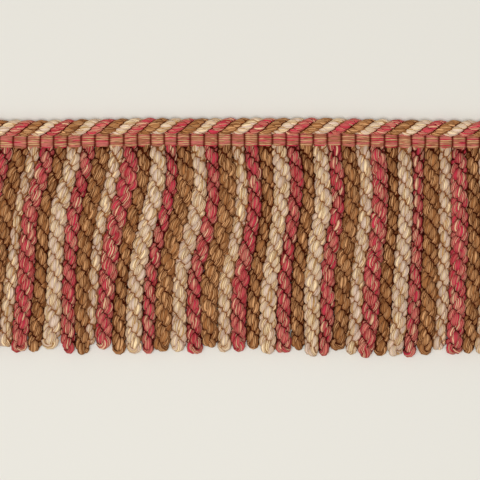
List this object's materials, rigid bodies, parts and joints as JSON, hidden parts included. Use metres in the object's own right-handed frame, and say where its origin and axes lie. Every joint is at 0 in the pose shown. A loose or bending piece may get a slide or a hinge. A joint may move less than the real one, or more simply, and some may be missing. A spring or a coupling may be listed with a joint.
{
  "type": "bullion fringe",
  "caption": "Cut length of bullion fringe lying flat: a row of looped twisted cords hangs from a ribbed woven heading edged with a twisted cord.",
  "frame": {"origin": "middle of the object's outline seen from above, at the level of the surface it lies on", "axes": "+X along the heading, to the right as seen from the front; +Y towards the twisted cord on the upper edge, with the strands towards -Y; +Z out of the front face, away from the surface"},
  "size_m": [0.1916, 0.0798, 0.0057],
  "materials": {
    "rose_yarn": "matte twisted yarn, crimson and coral threads with tan flecks",
    "tan_yarn": "matte twisted yarn, brown threads",
    "cream_yarn": "matte twisted yarn, ivory and pinkish beige threads",
    "heading_warp": "matte ribbed weave, rose and tan threads side by side"
  },
  "bodies": {
    "root": {"bullions": "tan_yarn", "heading": "heading_warp", "top_cord": "cream_yarn"}
  },
  "joints": []
}
